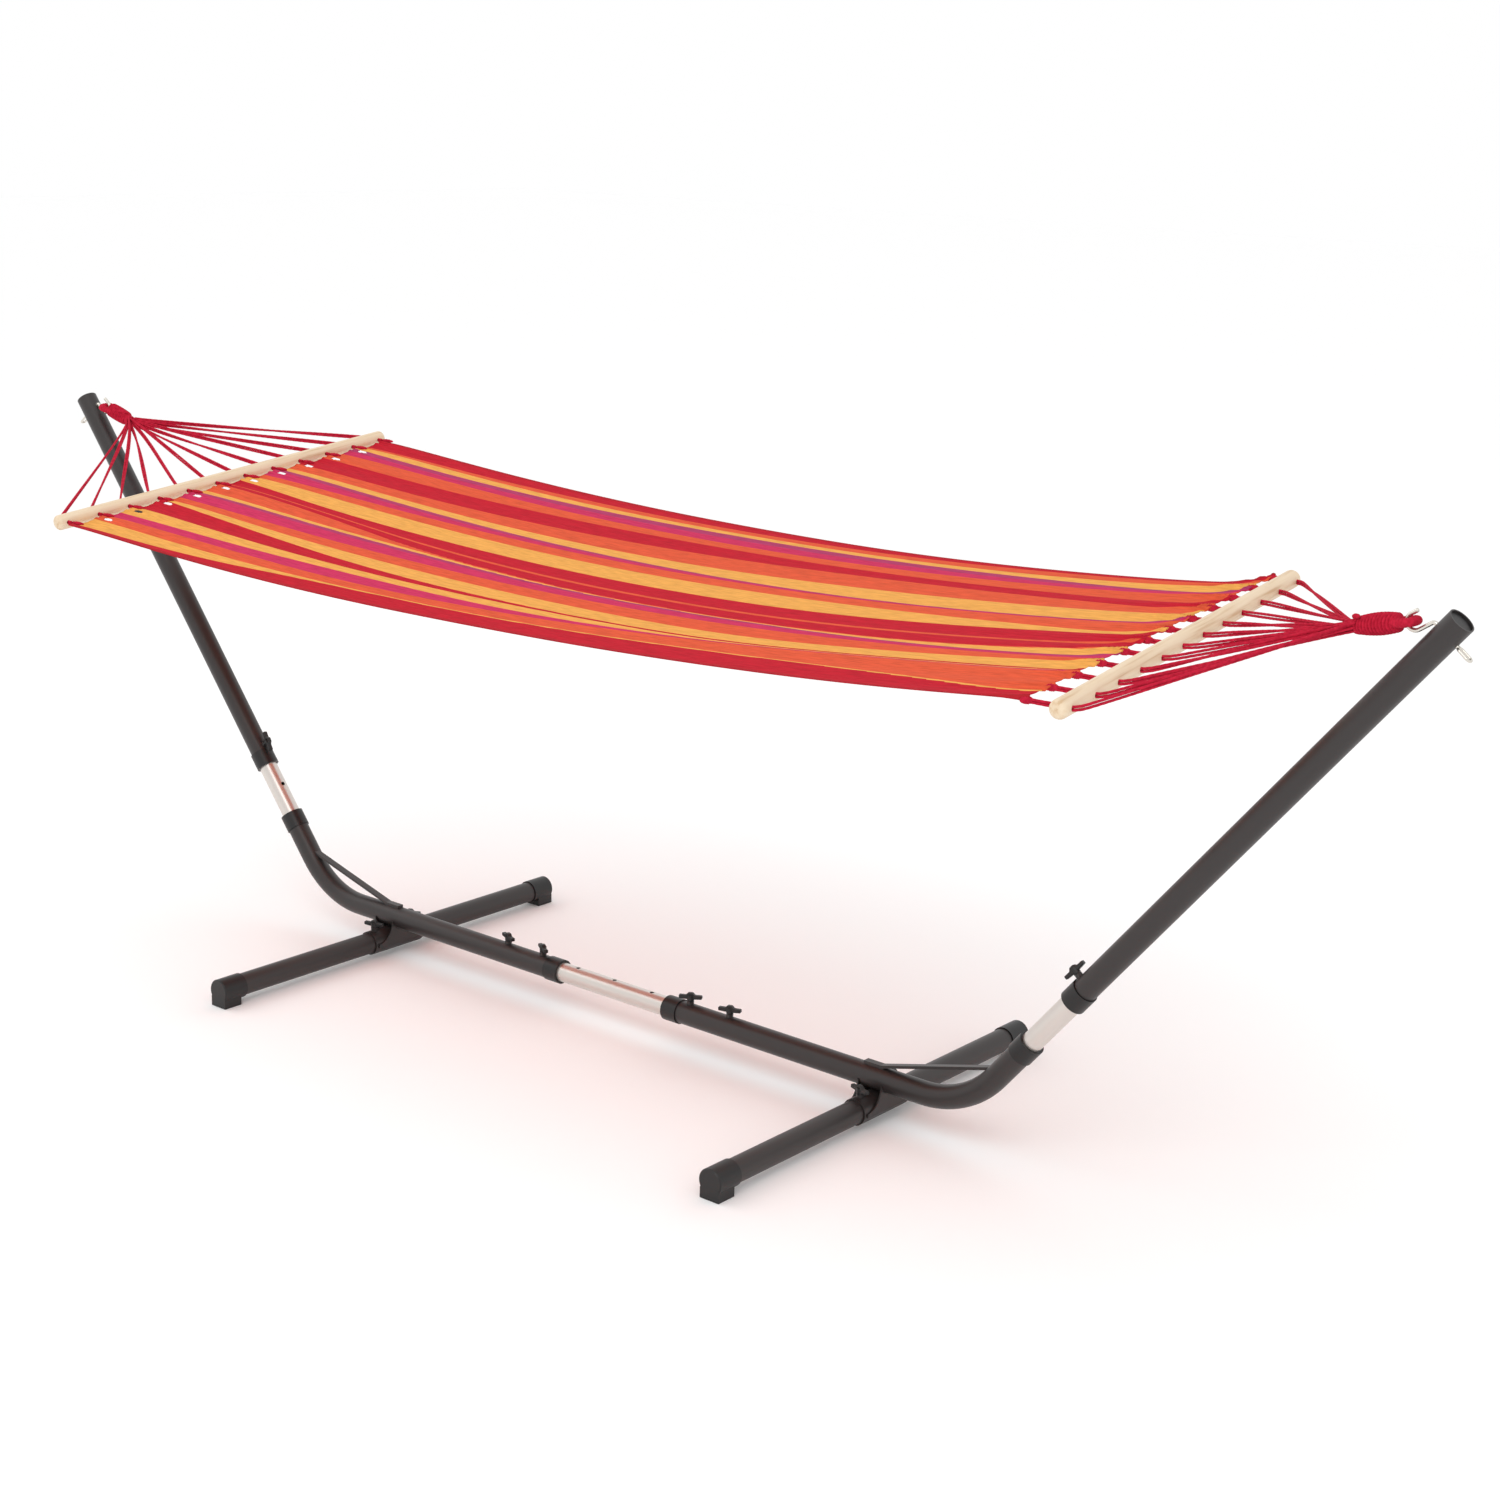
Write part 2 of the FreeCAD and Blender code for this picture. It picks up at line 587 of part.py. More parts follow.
export_sides("post", post())
export_sides("post_collar", collar(on_post(POST_START), ALONG))
export_sides("post_plug", post_plug())
export_sides("hook", hook())

tube_nut = weld_nut(TUBE_R)
sleeve_nut = weld_nut(SLEEVE_R)
base_nuts = [placed(tube_nut, rail_frame(x)) for x in RAIL_KNOB_X]
base_nuts += [placed(sleeve_nut, sleeve_frame(side)) for side in (-1, 1)]
export_sides("base_weld_nuts", Part.makeCompound(base_nuts))
export_sides("post_weld_nut", placed(tube_nut, post_frame()))

tube_knob = knob(TUBE_R, BORE_R)
sleeve_knob = knob(SLEEVE_R, SLEEVE_BORE_R)
export_sides("rail_inner_knob", placed(tube_knob, rail_frame(RAIL_KNOB_X[0]), 30))
export_sides("rail_outer_knob", placed(tube_knob, rail_frame(RAIL_KNOB_X[1]), 20))
export_sides("front_sleeve_knob", placed(sleeve_knob, sleeve_frame(-1), 75))
export_sides("rear_sleeve_knob", placed(sleeve_knob, sleeve_frame(1), 60))
export_sides("post_knob", placed(tube_knob, post_frame(), 8))

for hammock_side in ("left", "right"):
    export(hammock_side + "_eye", eye(hammock_side))
    export(hammock_side + "_cords", cords(hammock_side))
    export(hammock_side + "_spreader_bar", spreader_bar(hammock_side))
export("cloth", cloth())
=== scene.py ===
"""Striped cotton hammock on a telescopic steel stand, made piece by piece in the order of assembly.

The part's own frame: metres, +X along the rail towards the right post, +Y to the rear legs, +Z up,
the floor at z = 0.
"""

import math

import bpy
import numpy as np
from mathutils import Matrix, Vector


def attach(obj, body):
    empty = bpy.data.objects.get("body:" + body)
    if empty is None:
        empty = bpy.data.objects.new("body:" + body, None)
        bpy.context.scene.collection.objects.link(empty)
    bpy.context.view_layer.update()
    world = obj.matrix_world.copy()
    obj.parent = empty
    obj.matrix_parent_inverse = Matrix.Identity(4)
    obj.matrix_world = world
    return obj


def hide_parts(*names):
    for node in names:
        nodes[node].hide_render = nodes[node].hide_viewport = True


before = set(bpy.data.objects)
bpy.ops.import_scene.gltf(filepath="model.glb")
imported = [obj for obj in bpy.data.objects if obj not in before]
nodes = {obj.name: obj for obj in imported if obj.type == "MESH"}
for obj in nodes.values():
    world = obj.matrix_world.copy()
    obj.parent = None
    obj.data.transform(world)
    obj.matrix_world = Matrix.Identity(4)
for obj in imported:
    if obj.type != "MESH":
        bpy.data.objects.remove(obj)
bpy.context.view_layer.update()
SIDES = {"left": -1.0, "right": 1.0}


# ---- Plated inner tubes --------------------------------------------------------------------------
# The middle tube and the two risers are thin drawn steel tube with a satin zinc plate. They are cut
# to length and drilled for the locking pins, and they show only between the collars.
def display(red, green, blue):
    """A colour as a screen shows it, 0 to 255, turned into the linear colour that a shader takes."""
    value = np.array([red, green, blue]) / 255
    linear = np.where(value <= 0.04045, value / 12.92, ((value + 0.055) / 1.055) ** 2.4)
    return (*linear.tolist(), 1.0)


def new_finish(name, colour, roughness, metallic=0.0, shine=0.5):
    """A material with one colour and gloss; returns it with its node tree and shader."""
    finish = bpy.data.materials.new(name)
    finish.use_nodes = True
    tree = finish.node_tree
    shader = tree.nodes["Principled BSDF"]
    shader.inputs["Base Color"].default_value = colour
    shader.inputs["Roughness"].default_value = roughness
    shader.inputs["Metallic"].default_value = metallic
    shader.inputs["Specular IOR Level"].default_value = shine
    return finish, tree, shader


def grain(tree, scale, detail=3.0, length=(1.0, 1.0, 1.0), turn=(0.0, 0.0, 0.0)):
    """Soft noise in the piece's own coordinates, turned with the piece; length is how long its
    grains are along each axis."""
    place = tree.nodes.new("ShaderNodeTexCoord")
    mapping = tree.nodes.new("ShaderNodeMapping")
    mapping.vector_type = "TEXTURE"
    mapping.inputs["Rotation"].default_value = turn
    mapping.inputs["Scale"].default_value = length
    noise = tree.nodes.new("ShaderNodeTexNoise")
    noise.inputs["Scale"].default_value = scale
    noise.inputs["Detail"].default_value = detail
    tree.links.new(place.outputs["Object"], mapping.inputs["Vector"])
    tree.links.new(mapping.outputs["Vector"], noise.inputs["Vector"])
    return noise.outputs["Fac"]


def emboss(tree, shader, height, depth):
    """Fine relief: the value from 0 to 1 raises the surface by up to depth, in metres."""
    bump = tree.nodes.new("ShaderNodeBump")
    bump.inputs["Distance"].default_value = depth
    tree.links.new(height, bump.inputs["Height"])
    tree.links.new(bump.outputs["Normal"], shader.inputs["Normal"])


def give_finish(names, finish):
    """Puts one material on CAD pieces."""
    for name in names:
        nodes[name].data.materials.clear()
        nodes[name].data.materials.append(finish)


plate, tree, shader = new_finish("zinc_plated_tube", display(214, 208, 202), roughness=0.34,
                                 metallic=0.85)
emboss(tree, shader, grain(tree, scale=260, detail=2.0), depth=0.00002)
give_finish(["centre_tube", "left_riser_tube", "right_riser_tube"], plate)


# ---- Painted tubes -------------------------------------------------------------------------------
# The bent base tubes, posts, cross sleeves, legs, saddle plates, braces and weld nuts are steel under
# a satin dark powder coat, which leaves a very fine orange-peel texture.
PAINTED = ("bend_tube", "post", "cross_sleeve", "saddle_plates", "brace", "front_leg", "rear_leg",
           "base_weld_nuts", "post_weld_nut")
coat, tree, shader = new_finish("powder_coat", display(39, 33, 32), roughness=0.45)
shader.inputs["Coat Weight"].default_value = 0.12
shader.inputs["Coat Roughness"].default_value = 0.3
emboss(tree, shader, grain(tree, scale=700, detail=1.0), depth=0.00006)
give_finish([f"{side}_{name}" for side in SIDES for name in PAINTED], coat)


# ---- Plastic collars, plugs, foot caps and knobs -------------------------------------------------
# Injection-moulded black plastic with a matt spark-eroded skin. The collars and caps are pressed on
# the tubes, the plugs into the posts, and each winged knob is moulded round its threaded stud.
MOULDED = ("rail_collar", "riser_collar", "post_collar", "post_plug", "front_foot_cap",
           "rear_foot_cap", "rail_inner_knob", "rail_outer_knob", "front_sleeve_knob",
           "rear_sleeve_knob", "post_knob")
plastic, tree, shader = new_finish("moulded_plastic", display(15, 13, 13), roughness=0.42)
emboss(tree, shader, grain(tree, scale=1400, detail=1.0), depth=0.00004)
give_finish([f"{side}_{name}" for side in SIDES for name in MOULDED], plastic)


# ---- Wire hooks ----------------------------------------------------------------------------------
# Each hook is one bent steel rod that passes through the post, with a closed eye behind it. Both are
# bright zinc plated after bending.
bright_zinc, tree, shader = new_finish("bright_zinc", display(216, 211, 202), roughness=0.26,
                                       metallic=0.9)
emboss(tree, shader, grain(tree, scale=500, detail=2.0), depth=0.00003)
give_finish([f"{side}_hook" for side in SIDES], bright_zinc)


# ---- Spreader bars -------------------------------------------------------------------------------
# Turned beech dowels with domed ends, one cross hole per cord, under a thin clear varnish. The grain
# runs the length of the bar and shows as soft darker streaks.
BAR_TILT = {"left": math.radians(8.3), "right": math.radians(5.5)}      # -Y end low
BAR_TURN = {"left": math.radians(7.2), "right": math.radians(-3.7)}     # +Y end towards +X


def ramp(tree, value, stops, blend="LINEAR"):
    """Colours looked up by a value from 0 to 1; stops are (place, colour) from low to high."""
    lookup = tree.nodes.new("ShaderNodeValToRGB")
    band = lookup.color_ramp
    band.interpolation = blend
    band.elements[0].position, band.elements[0].color = stops[0]
    band.elements[1].position, band.elements[1].color = stops[-1]
    for place, colour in stops[1:-1]:
        band.elements.new(place).color = colour
    tree.links.new(value, lookup.inputs["Fac"])
    return lookup.outputs["Color"]


for side in SIDES:
    wood, tree, shader = new_finish(f"beech_{side}", display(222, 200, 168), roughness=0.5)
    along_bar = (BAR_TILT[side], 0.0, -BAR_TURN[side])
    streaks = grain(tree, scale=14, detail=4.0, length=(0.11, 2.0, 0.11), turn=along_bar)
    wood_colours = ramp(tree, streaks, [(0.3, display(202, 170, 132)), (0.46, display(222, 199, 168)),
                                        (0.7, display(228, 208, 180))])
    tree.links.new(wood_colours, shader.inputs["Base Color"])
    pores = grain(tree, scale=60, length=(0.12, 1.7, 0.12), turn=along_bar)
    emboss(tree, shader, pores, depth=0.0001)
    give_finish([f"{side}_spreader_bar"], wood)


# ---- Suspension cords ----------------------------------------------------------------------------
# Twelve doubled cotton cords at each end. Each leaves the whipping, is pulled tight to its hole in
# the bar, turns into the hole and ends at the cloth. The two strands lie side by side and turn
# slowly round each other, and each is laid from three yarns.
BAR_AT = {"left": (-1.181, 0.0054, 0.968), "right": (1.217, 0.0054, 0.994)}
BAR_RADIUS = 0.016
LOOP_AT = {"left": (-1.6008, 0.0, 1.0841), "right": (1.6008, 0.0, 1.0841)}
HOLES = np.linspace(-0.396, 0.396, 12)
WHIPPING_END = 0.090    # from the loop's end to where the cords come out
CORD_LAYER = 0.00504    # the cords come out in three layers, this far apart
CORD_STEP = 0.00174     # and each this far along Y from the one before
BUNCH_LONG = 0.055      # how long the cords stay bunched
BUNCH_DRAWN = 0.010     # the most that a cord is drawn inwards at the bunch's end
CORD_LEAD = 0.008       # from the bar to the turn into its hole
CORD_STRAIGHT = 0.040   # a cord's last straight length before that turn
CLOTH_GAP = {"left": (0.012, 0.012), "right": (0.050, 0.018)}   # at the -Y end and the +Y end
LINE_STEP = 0.0022
STRAND_RADIUS = 0.00235
STRAND_PRESSED = 0.88   # a strand's middle is this many strand radii from the cord's line
STRAND_OPEN = {"left": 0.0002, "right": 0.0008}     # and at most this much further where they part
OPEN_LONG = 0.3         # the strands part over this length from the cloth
UNTURNED = 0.06         # and turn round each other only beyond this length
CORD_LENGTHS = {
    "left": (0.522, 0.475, 0.434, 0.400, 0.380, 0.373, 0.380, 0.400, 0.432, 0.474, 0.521, 0.573),
    "right": (0.547, 0.494, 0.447, 0.410, 0.383, 0.371, 0.375, 0.394, 0.427, 0.470, 0.519, 0.574)}


def cloth_gap(side, y):
    """How far from a bar the cords' inner ends lie, at a distance along the bar."""
    return np.interp(y, HOLES[[0, -1]], CLOTH_GAP[side])


def unit(vector):
    """Vectors scaled to length 1."""
    return vector / np.linalg.norm(vector, axis=-1, keepdims=True)


def at_bar(side, points):
    """Takes points from beside a level bar at the origin to the bar's tilted and turned place."""
    x, y, z = np.moveaxis(np.asarray(points, float), -1, 0)
    cos, sin = math.cos(BAR_TILT[side]), math.sin(BAR_TILT[side])
    y, z = y * cos - z * sin, y * sin + z * cos
    cos, sin = math.cos(BAR_TURN[side]), math.sin(BAR_TURN[side])
    return np.stack([x * cos + y * sin, y * cos - x * sin, z], -1) + BAR_AT[side]


def pull(side):
    """Unit vector from a hook to the middle of its bar."""
    return unit(np.subtract(BAR_AT[side], LOOP_AT[side]))


def cord_points(side, index):
    """A cord's own points: whipping, end of the bunch, near the bar, the turn, the hole, the cloth.
    The bunch's end is drawn in towards the line from the hook to the bar's middle."""
    away, loop, sign, hole = pull(side), np.array(LOOP_AT[side]), SIDES[side], HOLES[index]
    across = (index - (len(HOLES) - 1) / 2) * CORD_STEP
    layer = np.cross(away, (0, 1, 0)) * (index % 3 - 1) * CORD_LAYER
    start = loop + away * WHIPPING_END + (0, across, 0) + layer
    turn, inside, end = at_bar(side, [
        (sign * (BAR_RADIUS + CORD_LEAD), hole, 0), (0, hole, 0),
        (-sign * (BAR_RADIUS + cloth_gap(side, hole)), hole, 0)])
    run = unit(turn - start)
    bunch = start + run * BUNCH_LONG
    apart = bunch - loop - away * np.dot(bunch - loop, away)
    bunch = bunch - apart * min(1.0, BUNCH_DRAWN / np.linalg.norm(apart))
    return np.array([start, bunch, turn - run * CORD_STRAIGHT, turn, inside, end])


def smooth_line(points, step):
    """The smooth spline that has these control points, as points one step apart along it."""
    curve = bpy.data.curves.new("route", "CURVE")
    curve.dimensions = "3D"
    curve.resolution_u = 16
    spline = curve.splines.new("NURBS")
    spline.points.add(len(points) - 1)
    spline.points.foreach_set("co", np.c_[points, np.ones(len(points))].ravel())
    spline.order_u = 3
    spline.use_endpoint_u = True
    holder = bpy.data.objects.new("route", curve)
    mesh = bpy.data.meshes.new_from_object(holder)
    line = np.empty(len(mesh.vertices) * 3)
    mesh.vertices.foreach_get("co", line)
    line = line.reshape(-1, 3)
    bpy.data.meshes.remove(mesh)
    bpy.data.objects.remove(holder)
    bpy.data.curves.remove(curve)
    run = np.r_[0, np.cumsum(np.linalg.norm(np.diff(line, axis=0), axis=1))]
    even = np.linspace(0, run[-1], int(run[-1] / step) + 2)
    return np.stack([np.interp(even, run, line[:, axis]) for axis in range(3)], 1)


def square_to(line):
    """Distance along a line, and two unit vectors square to it at each point: level and upright."""
    run = np.r_[0, np.cumsum(np.linalg.norm(np.diff(line, axis=0), axis=1))]
    along = unit(np.gradient(line, axis=0))
    level = unit(np.cross(along, (0.0, 0.0, 1.0)))
    return run, level, np.cross(level, along)


def laid_tube(line, radius, sides, yarns, pitch, depth, lean=0.0, flat=1.0):
    """A closed tube round a line, its radius wavy like laid yarns: at angle a and distance s it is
    radius x (1 - depth + depth x |cos|) of yarns x a / 2 - pi x (s + lean x cos a) / pitch. Its
    level width is flat times its height."""
    run, level, upright = square_to(line)
    angle = np.linspace(0, 2 * np.pi, sides, endpoint=False)
    wave = np.abs(np.cos(yarns * angle / 2 - np.pi * (run[:, None] + lean * np.cos(angle)) / pitch))
    reach = (np.broadcast_to(radius, len(line))[:, None] * (1 - depth + depth * wave))[..., None]
    ring = level[:, None] * flat * np.cos(angle)[:, None] + upright[:, None] * np.sin(angle)[:, None]
    return closed_rings(line[:, None] + ring * reach)


def closed_rings(rings):
    """Vertices and faces of a grid of rings, joined round and along, with a face at each end."""
    count, sides = rings.shape[:2]
    index = np.arange(count * sides).reshape(count, sides)
    beside = np.roll(index, -1, axis=1)
    quads = np.stack([index[:-1], beside[:-1], beside[1:], index[1:]], -1).reshape(-1, 4)
    return rings.reshape(-1, 3), [*quads.tolist(), index[0][::-1].tolist(), index[-1].tolist()]


def new_piece(name, shells, finish, body):
    """One smooth piece from closed shells, in place, that rides on a body."""
    points, faces, start = [], [], 0
    for shell, shell_faces in shells:
        points.append(shell)
        faces += [[start + corner for corner in face] for face in shell_faces]
        start += len(shell)
    mesh = bpy.data.meshes.new(name)
    mesh.from_pydata(np.concatenate(points).tolist(), [], faces)
    mesh.shade_smooth()
    mesh.materials.append(finish)
    piece = bpy.data.objects.new(name, mesh)
    bpy.context.scene.collection.objects.link(piece)
    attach(piece, body)
    return piece


def doubled_cord(side, index):
    """The cord's line and two strands, half a turn apart, on a slow helix round it: one above the
    other at the bar, and furthest apart halfway along the length over which they part."""
    line = smooth_line(cord_points(side, index), LINE_STEP)
    run, level, upright = square_to(line)
    left = run[-1] - run
    open_up = STRAND_OPEN[side] * np.sin(np.pi * np.clip(left / OPEN_LONG, 0, 1)) ** 2
    apart = (STRAND_RADIUS * STRAND_PRESSED + open_up)[:, None]
    turns = 0.15 + 0.2 * (index * 5 % 4)    # differs from one cord to the next
    angle = np.pi / 2 + 2 * np.pi * turns * np.clip(left - UNTURNED, 0, None) / run[-1]
    aside = level * np.cos(angle)[:, None] + upright * np.sin(angle)[:, None]
    strands = [laid_tube(line + aside * apart * way, STRAND_RADIUS, sides=10, yarns=3, pitch=0.012,
                         depth=0.12) for way in (1, -1)]
    return line, strands


cotton, tree, shader = new_finish("red_cotton", display(184, 26, 52), roughness=0.9, shine=0.1)
cotton_colours = ramp(tree, grain(tree, scale=150, detail=2.0),
                      [(0.3, display(166, 22, 46)), (0.7, display(196, 34, 60))])
tree.links.new(cotton_colours, shader.inputs["Base Color"])
emboss(tree, shader, grain(tree, scale=1500, detail=2.0), depth=0.0002)

for side in SIDES:
    for index, length in enumerate(CORD_LENGTHS[side]):
        line, strands = doubled_cord(side, index)
        cord = new_piece(f"{side}_cord_{index + 1:02d}", strands, cotton, "hammock")
        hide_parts(f"{side}_cords")


# ---- Bound eyes and whippings --------------------------------------------------------------------
# The cords' ends are turned back in a loop that lies in the hook. The loop is bound with cord, and
# behind it all the strands are whipped together with slanting turns and tied off in a small knot.
LOOP_HALF = 0.0150      # each leg of the loop lies this far beside the hook
LOOP_OUT = 0.0025       # the binding bulges this far outwards past the cord loop
LEG_BACK = 0.019        # the legs run back this far,
TAIL_BACK = 0.034       # and end this far back inside the whipping,
TAIL_HALF = 0.4         # at this share of the loop's width
WHIP_SPAN = {"left": (0.0190, 0.080), "right": (0.0190, 0.100)}     # its ends, behind the loop
WHIP_RADII = {"left": (0.0158, 0.0168), "right": (0.0142, 0.0180)}  # at the hook and at its fullest
WRAP = 0.0056           # from one turn of the whipping to the next
NECK = (-0.007, 0.012)  # the bunched strands show between these places about its last end
TIE_BACK = 0.005        # the knot lies this far before that end,
TIE_ASIDE = (0.0, -0.006, 0.0150)   # on top and a little to -Y,
TIE_SLANT = (0.0, 0.8, 0.0)         # with its axis turned to +Y
BODY_SHARE = 0.9        # the whipping swells and thins over this share of its length,
NECK_CLOSES = 0.25      # and its last part closes by this share of its radius
END_SHARE = 0.08        # its end by the hook is rounded over this share


def whipping_radius(share, first, fullest):
    """The whipping's outline: it swells from the hook to its fullest, then closes on the cords."""
    body = first + (fullest - first) * np.sin(np.pi * np.clip(share / BODY_SHARE, 0, 1))
    round_off = np.sqrt(np.clip(1 - (1 - np.clip(share / END_SHARE, 0, 1)) ** 2, 0.2, 1))
    neck = 1 - NECK_CLOSES * np.clip((share - BODY_SHARE) / (1 - BODY_SHARE), 0, 1) ** 2
    return body * round_off * neck


def lump(middle, along, half_length, radius, wraps):
    """A knot as an egg on an axis, ridged by the turns of its cord and cut just short of its ends."""
    share = np.sin(np.linspace(-np.pi / 2, np.pi / 2, 18)) * 0.98
    line = middle + along * half_length * share[:, None]
    return laid_tube(line, radius * np.sqrt(1 - share ** 2), sides=16, yarns=1,
                     pitch=2 * half_length / wraps, depth=0.3, lean=radius * 0.5)


for side, (first, last) in WHIP_SPAN.items():
    away = pull(side)
    end = np.array(LOOP_AT[side]) - away * LOOP_OUT
    half, leg, tail = np.array([0, LOOP_HALF, 0]), away * LEG_BACK, away * TAIL_BACK
    loop = smooth_line([end - half * TAIL_HALF + tail, end - half + leg, end - half,
                        end + half, end + half + leg, end + half * TAIL_HALF + tail], step=0.0009)
    share = np.linspace(0, 1, 150)
    spine = end + away * (first + share * (last - first))[:, None]
    neck = end + away * np.linspace(last + NECK[0], last + NECK[1], 30)[:, None]
    tie_at = end + away * (last - TIE_BACK) + TIE_ASIDE
    shells = [laid_tube(loop, radius=0.0075, sides=20, yarns=1, pitch=WRAP, depth=0.16, flat=1.1),
              laid_tube(spine, whipping_radius(share, *WHIP_RADII[side]), sides=40, yarns=1, pitch=WRAP,
                        depth=0.2, lean=0.006),
              laid_tube(neck, radius=0.0115, sides=24, yarns=8, pitch=0.030, depth=0.2),
              lump(tie_at, unit(away + TIE_SLANT), half_length=0.012, radius=0.0048, wraps=4)]
    eye = new_piece(f"{side}_whipping", shells, cotton, "hammock")
    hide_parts(f"{side}_eye")


# ---- Cloth ---------------------------------------------------------------------------------------
# One width of woven cotton with yarn-dyed stripes along its length, hemmed all round; one red wedge
# among the stripes is painted shade of the folds near the ends. It is gathered at twelve places on
# each end, where a knot ties it to a cord, and sags a little between the bars.
ROWS, COLUMNS = 160, 280
CROWDING = 0.14         # 0 spaces the rows evenly, and up to 0.159 they crowd towards both ends
CLOTH_WIDTH = 0.808
CLOTH_LONG = 2.3
CLOTH_SAG = 0.060
CLOTH_THICKNESS = 0.0016
HEM = 0.010
HEM_RAISED = 0.0015
CORNER_REACH = 0.04     # over about this length the far hem runs out to its corner knot
SLIT_BACK, SLIT_LONG = 0.028, 0.0130    # slits by the left knots: in from the end, half the length,
SLIT_ASIDE, SLIT_WIDE = -0.007, 0.0058  # aside from the cord, half the width
LEFT_OUT, NOTCH, NOTCH_WIDE = 0.008, 0.005, 0.008   # left end: further out, but notched at each cord
SCALLOP = 0.010         # right end: out at each cord and in between the cords
EDGE_REACH = {"left": 0.03, "right": 0.05}
GATHER_WIDE, FOLD_WIDE = 0.028, 0.020   # how far beside each cord the cloth is gathered and folded
FOLD_PITCH = 0.013
# Each end's size, with the distance over which it fades: how far the cloth is gathered towards the
# cords, as a share, and how high its folds and waves are.
GATHER = {"left": (0.25, 0.03), "right": (0.68, 0.035)}
FOLDS = {"left": (0.0020, 0.06), "right": (0.0060, 0.045)}
WAVES = {"left": (0.0030, 0.20), "right": (0.0030, 0.20)}
DIP, DIP_REACH = 0.0065, 0.12           # the left end lies this much lower
YELLOW = display(236, 168, 84)
ORANGE = display(224, 90, 58)
RED = display(194, 28, 46)
MAGENTA = display(204, 50, 94)
VIOLET = display(176, 62, 104)
HEM_RED = display(178, 34, 44)
STATIONS = (0.0, 0.15, 0.3, 0.5, 0.7, 0.85, 1.0)
NEAR_HEM = (2, 5, 13, 25, 21, 11, 2)
# Each stripe's colour and how far its far edge is from the line between the cloth's near corners, in
# millimetres, at seven places along the cloth. Inner lines are (share of the stripe's width, colour).
STRIPES = (
    (HEM_RED, (10, 12, 20, 32, 28, 18, 9), ()),
    (RED, (12, 28, 70, 80, 92, 86, 44), ((0.5, ORANGE), (0.56, RED))),
    (YELLOW, (63, 63, 71, 81, 93, 87, 45), ()),
    (ORANGE, (98, 103, 98, 113, 140, 160, 158), ()),
    (MAGENTA, (123, 128, 138, 128, 142, 162, 160), ()),
    (YELLOW, (165, 160, 160, 158, 144, 164, 163), ()),
    # Painted shade: this red wedge between two yellows stands for the shadow of the folds near the
    # ends, so it is widest at the left end and nearly gone in the middle.
    (RED, (228, 210, 183, 163, 149, 167, 178), ()),
    (YELLOW, (248, 235, 228, 208, 182, 203, 220), ()),
    (ORANGE, (266, 263, 260, 246, 233, 233, 238), ()),
    (MAGENTA, (318, 316, 308, 280, 263, 248, 260), ((0.72, VIOLET),)),
    (YELLOW, (336, 325, 318, 281, 264, 263, 296), ()),
    (ORANGE, (378, 368, 319, 282, 265, 264, 297), ()),
    (RED, (423, 398, 388, 368, 355, 368, 396), ((0.38, ORANGE), (0.44, RED))),
    (YELLOW, (463, 458, 448, 433, 426, 416, 397), ()),
    (ORANGE, (483, 488, 483, 472, 462, 460, 463), ()),
    (MAGENTA, (528, 523, 510, 490, 470, 468, 473), ((0.55, VIOLET),)),
    (YELLOW, (550, 543, 532, 521, 525, 525, 518), ()),
    (ORANGE, (573, 576, 581, 591, 602, 583, 551), ()),
    (RED, (638, 640, 648, 651, 634, 620, 596), ()),
    (ORANGE, (696, 693, 686, 678, 668, 658, 646), ()),
    (MAGENTA, (723, 725, 730, 732, 713, 696, 666), ((0.6, VIOLET),)),
    (YELLOW, (758, 753, 750, 748, 731, 716, 711), ()),
    (ORANGE, (764, 766, 770, 766, 754, 750, 730), ()),
    (RED, (800, 800, 798, 788, 764, 752, 740), ()),
    (HEM_RED, (808, 808, 806, 796, 771, 759, 748), ()),
)
SOFTEN = np.linspace(-0.07, 0.07, 9)    # an edge is the mean of its straight runs over this reach


def stripe_edge(share, edge):
    """An edge's distance across the cloth, in metres, at a share of the cloth's length."""
    return sum(np.interp(share + shift, STATIONS, edge) for shift in SOFTEN) / len(SOFTEN) / 1000


def stripe_place(share, across):
    """Which stripe a point is in, from 0 to 1: each stripe adds its part of the way across it."""
    edges = np.stack([stripe_edge(share, edge)
                      for edge in (NEAR_HEM, *(far_edge for _, far_edge, _ in STRIPES))])
    width = np.maximum(edges[1:] - edges[:-1], 1e-5)
    return np.clip((across[None] - edges[:-1]) / width, 0, 1).sum(0) / len(STRIPES)


def closeness(distance, reach):
    """1 at the cloth's end, falling away with distance from it."""
    return np.exp(-distance / reach)


even = np.linspace(0, 1, ROWS)
share = (even - CROWDING * np.sin(2 * np.pi * even))[:, None]
near_hem = stripe_edge(share, NEAR_HEM)
far_hem = stripe_edge(share, STRIPES[-1][1])
pattern_across = near_hem + (far_hem - near_hem) * np.linspace(0, 1, COLUMNS)
far_hem = far_hem + (CLOTH_WIDTH - far_hem) * closeness((1 - share) * CLOTH_LONG, CORNER_REACH)
across = near_hem + (far_hem - near_hem) * np.linspace(0, 1, COLUMNS)
from_middle = across - CLOTH_WIDTH / 2
left_end, right_end = [at_bar(side, np.stack([
    -sign * (BAR_RADIUS + cloth_gap(side, from_middle)), from_middle, from_middle * 0], -1))
    for side, sign in SIDES.items()]
sheet = left_end * (1 - share[..., None]) + right_end * share[..., None]
to_left = sheet[..., 0] - left_end[..., 0]
to_right = right_end[..., 0] - sheet[..., 0]


def at_ends(sizes):
    """A size at each end that fades with the distance from it."""
    return sum(sizes[side][0] * closeness(distance, sizes[side][1])
               for side, distance in (("left", to_left), ("right", to_right)))


